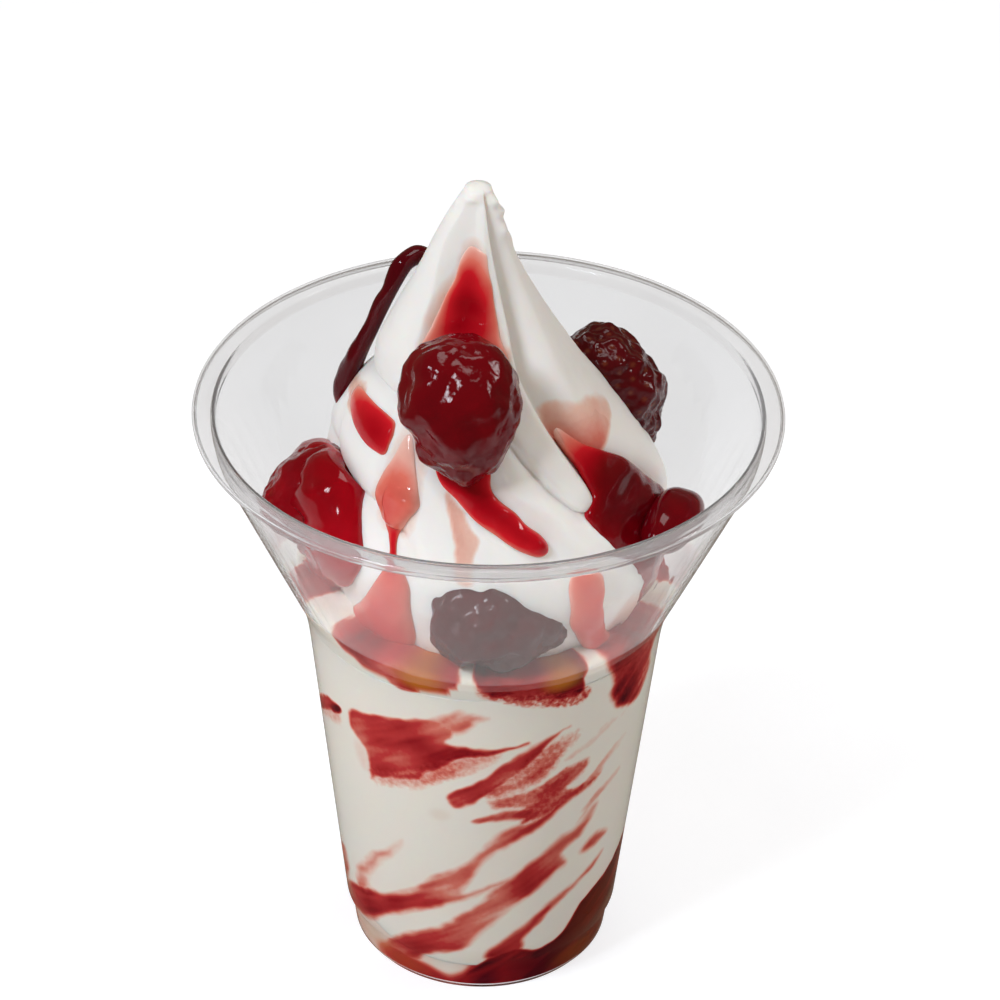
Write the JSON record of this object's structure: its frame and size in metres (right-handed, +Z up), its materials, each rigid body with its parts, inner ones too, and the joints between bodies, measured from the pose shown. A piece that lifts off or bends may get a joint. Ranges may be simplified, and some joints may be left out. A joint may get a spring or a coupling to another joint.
{
  "type": "soft serve sundae cup",
  "caption": "Clear flared plastic cup of vanilla soft serve marbled with red fruit sauce, a piped swirl with a blunt tip above the rim, and sauced berries on and beside it.",
  "frame": {"origin": "centre of the cup's foot, on the surface that it stands on", "axes": "+Z up along the cup's axis, -Y towards the side seen in the picture, +X to its right"},
  "size_m": [0.098, 0.098, 0.1498],
  "materials": {
    "clear_plastic": "clear, glossy, thin formed sheet",
    "soft_serve_cream": "soft, satin, cold cream marbled with sauce in the cup",
    "fruit_sauce": "wet, translucent deep red syrup",
    "glazed_berry": "wet dark red fruit, pitted skin under syrup"
  },
  "bodies": {
    "root": {"cup": "clear_plastic", "base_sauce": "fruit_sauce", "soft_serve": "soft_serve_cream", "sauce_ring": "fruit_sauce", "sauce_pool": "fruit_sauce", "berry_front": "glazed_berry", "berry_left": "glazed_berry", "berry_right": "glazed_berry", "berry_low": "glazed_berry"}
  },
  "joints": []
}
